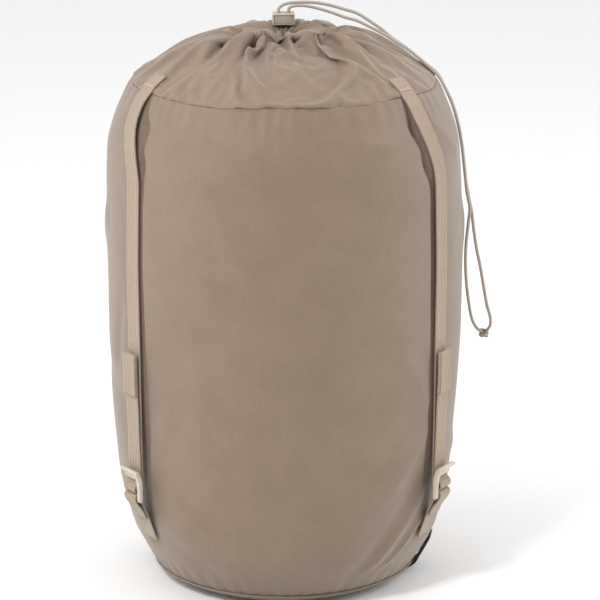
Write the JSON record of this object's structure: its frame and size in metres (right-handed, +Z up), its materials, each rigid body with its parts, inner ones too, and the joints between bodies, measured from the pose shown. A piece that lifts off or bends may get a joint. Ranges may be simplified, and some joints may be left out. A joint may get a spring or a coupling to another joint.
{
  "type": "compression stuff sack",
  "caption": "Tall round-bottomed fabric sack, stuffed full, with a drawcord-gathered top, vertical compression straps on ladder-lock buckles and a hanging cord.",
  "frame": {"origin": "centre of the underside of the base, on the floor", "axes": "+Z up through the mouth, -Y the front midway between the two front straps, +X to the right"},
  "size_m": [0.3649, 0.3458, 0.5465],
  "materials": {
    "body_fabric": "matt woven nylon with a fine plain weave, coyote tan",
    "collar_fabric": "lighter soft woven nylon, gathered",
    "strap_webbing": "ribbed polyamide webbing, tan",
    "black_webbing": "ribbed polyamide webbing, black",
    "buckle_plastic": "moulded acetal, light beige, fine grain",
    "cord_yarn": "braided cord, grey tan",
    "lock_plastic": "moulded acetal, tan",
    "spring_steel": "drawn spring wire"
  },
  "bodies": {
    "sack": {"body_panel": "body_fabric", "base_panel": "body_fabric", "base_piping": "body_fabric", "collar": "collar_fabric", "drawcord_channel": "collar_fabric", "base_grab_handle": "black_webbing", "compression_strap_left": "strap_webbing", "compression_strap_right": "strap_webbing", "compression_strap_rear": "strap_webbing", "anchor_loop_left": "strap_webbing", "anchor_loop_right": "strap_webbing", "anchor_loop_rear": "strap_webbing", "drawcord_ring": "cord_yarn", "drawcord_outer_strand": "cord_yarn", "drawcord_inner_strand": "cord_yarn", "drawcord_knot": "cord_yarn"},
    "cord_lock": {"cord_lock_body": "lock_plastic", "cord_lock_spring": "spring_steel"},
    "lock_button": {"cord_lock_button": "lock_plastic"},
    "left_buckle": {"ladder_lock_left": "buckle_plastic", "strap_tail_left": "strap_webbing"},
    "right_buckle": {"ladder_lock_right": "buckle_plastic", "strap_tail_right": "strap_webbing"},
    "rear_buckle": {"ladder_lock_rear": "buckle_plastic", "strap_tail_rear": "strap_webbing"}
  },
  "joints": [
    {"name": "cord_lock_slide", "type": "slide", "parent": "sack", "child": "cord_lock", "axis": [0, 0, 1], "range_m": [0, 0.0025]},
    {"name": "lock_button_press", "type": "slide", "parent": "cord_lock", "child": "lock_button", "axis": [0, 1, 0], "range_m": [0, 0.0018], "stiffness_N_per_m": 400, "springref_m": -0.002, "deforming": ["cord_lock_spring"]},
    {"name": "left_buckle_swing", "type": "hinge", "parent": "sack", "child": "left_buckle", "pos_m": [-0.14442, -0.09379, 0.102], "axis": [0.5446, -0.8387, 0], "range_deg": [0, 35]},
    {"name": "right_buckle_swing", "type": "hinge", "parent": "sack", "child": "right_buckle", "pos_m": [0.14442, -0.09379, 0.102], "axis": [0.5446, 0.8387, 0], "range_deg": [0, 35]},
    {"name": "rear_buckle_swing", "type": "hinge", "parent": "sack", "child": "rear_buckle", "pos_m": [0, 0.1722, 0.102], "axis": [-1, 0, 0], "range_deg": [0, 35]}
  ]
}
